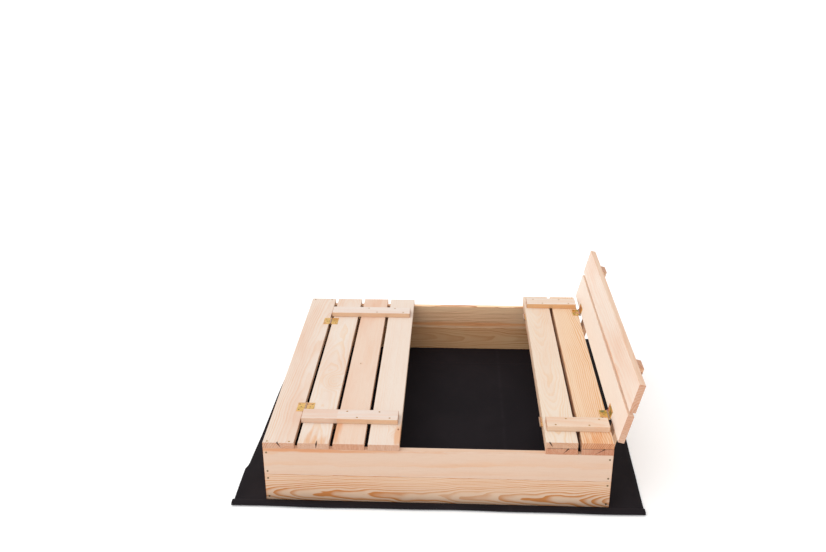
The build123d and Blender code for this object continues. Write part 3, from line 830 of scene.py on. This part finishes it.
cone = add_node(
    tree, "GeometryNodeMeshCone",
    Vertices=24, Radius_Top=head_radius, Radius_Bottom=shank_radius, Depth=head_height,
)
cone_down = add_node(tree, "ShaderNodeCombineXYZ", Z=product(tree, head_height, -1.0))
cone_placed = add_node(
    tree, "GeometryNodeTransform", Geometry=cone.outputs["Mesh"], Translation=cone_down.outputs[0],
)
recess_long, recess_wide = product(tree, head_radius, 1.15), product(tree, head_radius, 0.24)
recess_deep = product(tree, head_height, 0.9)
head = cone_placed.outputs["Geometry"]
for long_x, long_y in ((recess_long, recess_wide), (recess_wide, recess_long)):
    bar_size = add_node(tree, "ShaderNodeCombineXYZ", X=long_x, Y=long_y, Z=recess_deep)
    bar = add_node(tree, "GeometryNodeMeshCube", Size=bar_size.outputs[0]).outputs["Mesh"]
    cut = add_node(tree, "GeometryNodeMeshBoolean", {"operation": "DIFFERENCE"}, Mesh_1=head, Mesh_2=bar)
    head = cut.outputs["Mesh"]
whole = tree.nodes.new("GeometryNodeJoinGeometry")
tree.links.new(head, whole.inputs[0])
tree.links.new(thread.outputs["Geometry"], whole.inputs[0])
turn_of = add_node(tree, "GeometryNodeInputNamedAttribute", {"data_type": "FLOAT_VECTOR"}, Name="turn")
as_rotation = add_node(tree, "FunctionNodeEulerToRotation", Euler=turn_of.outputs[0])
placed = add_node(
    tree, "GeometryNodeInstanceOnPoints",
    Points=given["Geometry"], Instance=whole.outputs[0], Rotation=as_rotation.outputs[0],
)
real = add_node(tree, "GeometryNodeRealizeInstances", Geometry=placed.outputs[0])
coated = add_node(tree, "GeometryNodeSetMaterial", Geometry=real.outputs[0], Material=given["Material"])
tree.links.new(coated.outputs[0], tree.nodes.new("NodeGroupOutput").inputs["Geometry"])
screw_tree = tree
print("screw tree:", len(tree.nodes), "nodes")

# %% [markdown]
# Each packed screw node becomes one object with all of its screws. The tree is run once, its result is kept as a
# plain mesh, and the object that carried the tree goes.

# %% Set a screw at every place
spin = random.Random(17)
thread_share, point_play = 0.12, 0.0008


def set_screws(name, material, shank_share, pitch, head_height):
    """Replaces one packed screw node with finely made screws at the same places."""
    places = screw_places(name)
    points = bpy.data.meshes.new(name + "_places")
    points.from_pydata([tuple(head) for head, _, _, _ in places], [], [])
    turns = points.attributes.new("turn", "FLOAT_VECTOR", "POINT")
    for item, (_, line, _, _) in zip(turns.data, places):
        upright = Vector(line).to_track_quat("Z", "Y").to_matrix()
        item.vector = (upright @ Matrix.Rotation(spin.uniform(0, math.pi), 3, "Z")).to_euler()
    maker = bpy.data.objects.new(name + "_maker", points)
    scene.collection.objects.link(maker)
    modifier = maker.modifiers.new("screws", "NODES")
    modifier.node_group = screw_tree
    _, _, head_radius, length = places[0]
    settings = {
        "Head Radius": head_radius,
        "Head Height": head_height,
        "Shank Radius": head_radius * shank_share,
        "Length": length - point_play,
        "Thread Depth": head_radius * thread_share,
        "Thread Pitch": pitch,
        "Material": material,
    }
    for item in screw_tree.interface.items_tree:
        if item.in_out == "INPUT" and item.name in settings:
            modifier[item.identifier] = settings[item.name]
    piece = settle(maker, name + "_detailed")
    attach(piece, body_of[name])
    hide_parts(name)
    piece.data.calc_loop_triangles()
    print(name, len(places), "screws,", len(piece.data.loop_triangles), "triangles")


for name in sorted(n for n in nodes if "screws" in n):
    if "hinge" in name:
        set_screws(name, hinge_screw_zinc, shank_share=0.55, pitch=0.0012, head_height=0.0012)
    else:
        zinc = wall_screw_zinc if name == "wall_corner_screws" else batten_screw_zinc
        set_screws(name, zinc, shank_share=0.5, pitch=0.0022, head_height=0.0022)

# %% [markdown]
# ## The ground sheet
# Under the box lies a sheet of thin black non-woven cloth, cut by hand, so its sides aren't quite straight and one
# side has a jog. The box presses it flat, and outside the walls it lies in low ripples. Its front edge is rolled up
# on itself, and its right edge stands raised where it is folded over. A cloth simulation of a sheet that lies flat
# would only flatten it, so the sheet is a grid whose rows follow one path, the roll first and then the ground, and
# whose heights come from a few waves. A Solidify modifier gives it its thickness.

# %% Outline and heights of the sheet
cloth_thick, bed = 0.0009, 0.0004
roll_front, sheet_rear = -0.640, 0.692
left_outline = (
    (roll_front, -0.717), (-0.606, -0.714), (-0.424, -0.714),
    (-0.405, -0.7075), (-0.388, -0.705), (sheet_rear, -0.672),
)
right_outline = ((roll_front, 0.720), (-0.606, 0.7185), (-0.180, 0.7315), (sheet_rear, 0.700))
wall_outside, wall_inside = 0.600, 0.578
outer_swell, inner_swell = 0.0034, 0.0018
crease_x, crease_y = 0.258, 0.428


def outline_x(outline, y):
    """Where the cut edge runs at y."""
    ys, xs = zip(*outline)
    return float(np.interp(y, ys, xs))


def waves(x, y):
    """A smooth pattern between about -1 and 1, different in every place."""
    across = math.sin(9.1 * x + 2.3 * math.sin(5.2 * y) + 0.4)
    along = math.sin(7.4 * y + 1.9 * math.sin(6.1 * x) + 1.7)
    return (across + along + 0.6 * math.sin(23 * x - 17 * y)) / 2.6


def fold_line(offset, half_width, height):
    """A soft ridge along a line, where the sheet had been folded in its packet."""
    return height * max(0.0, 1 - abs(offset) / half_width) ** 2


def ground_height(x, y):
    """How high the lower face of the cloth lies above the floor."""
    outside = max(abs(x) - wall_outside, abs(y) - wall_outside)
    inside = min(wall_inside - abs(x), wall_inside - abs(y))
    if outside > 0:
        free = min(1.0, outside / 0.05)
        height = bed + free * (outer_swell + outer_swell * waves(2.0 * x, 1.7 * y))
        return height + fold_line(y - crease_y, 0.010, 0.0012 * free)
    if inside > 0:
        free = min(1.0, inside / 0.04)
        height = bed + free * (inner_swell + inner_swell * waves(1.3 * x + 0.3, 1.2 * y))
        height += fold_line(x - crease_x, 0.012, 0.0010 * free)
        return height + fold_line(y - crease_y, 0.012, 0.0006 * free)
    return bed


packed_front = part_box("ground_sheet")[0].y
print("sheet runs from y", roll_front, "to", sheet_rear, "and the packed one starts at", round(packed_front, 3))

# %% [markdown]
# The roll is a flattened spiral. It starts at the hidden inner end of the cloth, goes round a little under two
# turns while its radii grow, and leaves from its lowest point, rearwards along the ground. The grid has more rows
# at the walls, at the jog and at the crease, and more columns at the folded edge.

# %% Weave the sheet
roll_y, roll_z = -0.6257, 0.0084
roll_angle, roll_end, roll_step = 620, -90, 18
row_step, column_step, first_row = 0.012, 0.0085, -0.6265
jog_rows, wall_rows = (-0.612, -0.606, -0.424, -0.405, -0.388), (-0.601, -0.599, 0.599, 0.601)
crease_rows = (0.419, 0.424, 0.428, 0.432, 0.437)
edge_columns = (0.0016, 0.9984, 0.978, 0.9835, 0.9865, 0.072, 0.928)
folded_share, fold_lift, roll_gap = 0.984, 0.0012, 0.02


def roll_path():
    """Points (y, height) of the roll's cross-section, from its inner end to where it meets the ground."""
    points = []
    for degrees in range(roll_end - roll_angle, roll_end + 1, roll_step):
        share = (degrees - roll_end + roll_angle) / roll_angle
        wide, tall = 0.0065 + 0.0125 * share, 0.0025 + 0.0058 * share
        angle = math.radians(degrees)
        points.append((roll_y + wide * math.cos(angle), roll_z + tall * math.sin(angle)))
    return points


def spread(low, high, step, extra):
    """Even values from low to high, with extra ones where detail is wanted."""
    even = np.linspace(low, high, int(round((high - low) / step)) + 1)
    return sorted(set(np.round(even, 6)) | set(np.round([e for e in extra if low < e < high], 6)))


rolled = roll_path()
ground_rows = spread(first_row, sheet_rear, row_step, jog_rows + wall_rows + crease_rows)[1:]
shares = spread(0.0, 1.0, column_step, edge_columns)
vertices = []
for y, height in rolled:
    for share in shares:
        x = outline_x(left_outline, roll_front) * (1 - share) + outline_x(right_outline, roll_front) * share
        bow = 0.0016 * math.sin(7 * x + 1.0) + 0.0010 * math.sin(19 * x)
        loose = 1 + 0.05 * math.sin(13 * x + 2.0)
        vertices.append((x, y + bow, max(bed, bed + (height - bed) * loose)))
for y in ground_rows:
    left, right = outline_x(left_outline, y), outline_x(right_outline, y)
    clear_of_roll = min(1.0, max(0.0, (y - roll_y) / roll_gap))
    for share in shares:
        x = left * (1 - share) + right * share
        height = bed + (ground_height(x, y) - bed) * clear_of_roll
        vertices.append((x, y, height + fold_lift if share > folded_share else height))
columns, rows = len(shares), len(rolled) + len(ground_rows)
faces = [
    (corner, corner + 1, corner + columns + 1, corner + columns)
    for row in range(rows - 1)
    for corner in range(row * columns, (row + 1) * columns - 1)
]
cloth_mesh = bpy.data.meshes.new("ground_sheet_cloth")
cloth_mesh.from_pydata(vertices, [], faces)
cloth_maker = bpy.data.objects.new("ground_sheet_maker", cloth_mesh)
scene.collection.objects.link(cloth_maker)
thickness = cloth_maker.modifiers.new("thickness", "SOLIDIFY")
thickness.thickness = cloth_thick
thickness.offset = 1.0
cloth = settle(cloth_maker, "ground_sheet_cloth")
for face in cloth.data.polygons:
    face.use_smooth = True
print("sheet:", len(cloth.data.polygons), "faces")

# %% [markdown]
# Non-woven cloth is a mat of pressed fibres: nearly black, matt, with a faint grey bloom, a fine pressed texture
# and a few specks of sawdust. Its two packing creases show as broken, slightly paler lines, and right of the first
# one the cloth is a shade darker.

# %% Cloth finish
cloth_inputs = {
    "Place": ("Vector", (0, 0, 0)),
    "Black": ("Color", shown(0.094, 0.077, 0.092)),
    "Bloom": ("Color", shown(0.134, 0.112, 0.126)),
    "Fold": ("Vector", (crease_x, crease_y, 0.0)),
}
tree, given, result = new_group("pressed fibre cloth", cloth_inputs, finish_outputs)
place = given["Place"]
fibres = mottle(tree, place, (700, 700, 700), detail=3.0, roughness=0.7)
felted = mottle(tree, place, (2600, 900, 2600), detail=1.0)
cloudy = mottle(tree, place, (4, 3, 4), detail=4.0, roughness=0.6)
specks = smooth_step(tree, mottle(tree, place, (420, 420, 420), detail=1.0), 0.80, 0.84)
bloom = product(tree, smooth_step(tree, cloudy, 0.35, 0.75), calc(tree, "MULTIPLY_ADD", fibres, 0.8, 0.3))
colour = tint(tree, bloom, given["Black"], given["Bloom"])

from_fold = vector_calc(tree, "SUBTRACT", place, given["Fold"])
beyond = smooth_step(tree, split(tree, from_fold)[0], 0.004, 0.03)
away_x, away_y, _ = split(tree, vector_calc(tree, "ABSOLUTE", from_fold))
away = calc(tree, "MINIMUM", away_x, calc(tree, "ADD", away_y, inverse(tree, beyond)))
away = calc(tree, "MULTIPLY_ADD", calc(tree, "SUBTRACT", fibres, 0.5), 0.008, away)
crease = inverse(tree, smooth_step(tree, away, 0.0, 0.011))
broken = smooth_step(tree, mottle(tree, place, (14, 14, 14), detail=3.0), 0.35, 0.65)
crease = product(tree, crease, calc(tree, "MULTIPLY_ADD", broken, 0.14, 0.02))
colour = tint(tree, crease, colour, shown(0.21, 0.185, 0.20))
colour = tint(tree, product(tree, beyond, 0.35), colour, given["Black"])
colour = tint(tree, product(tree, specks, 0.6), colour, shown(0.55, 0.48, 0.40))
wire(tree, result["Color"], colour)
wire(tree, result["Roughness"], calc(tree, "MULTIPLY_ADD", fibres, 0.2, 0.72))
wire(tree, result["Height"], calc(tree, "ADD", fibres, product(tree, felted, 0.5)))

cloth_finish, _, shader = new_finish("black non-woven cloth", tree, 0.4, 0.0004)
shader.inputs["Specular IOR Level"].default_value = 0.15
dress(cloth, cloth_finish)
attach(cloth, "box")
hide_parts("ground_sheet")
print("cloth dressed")
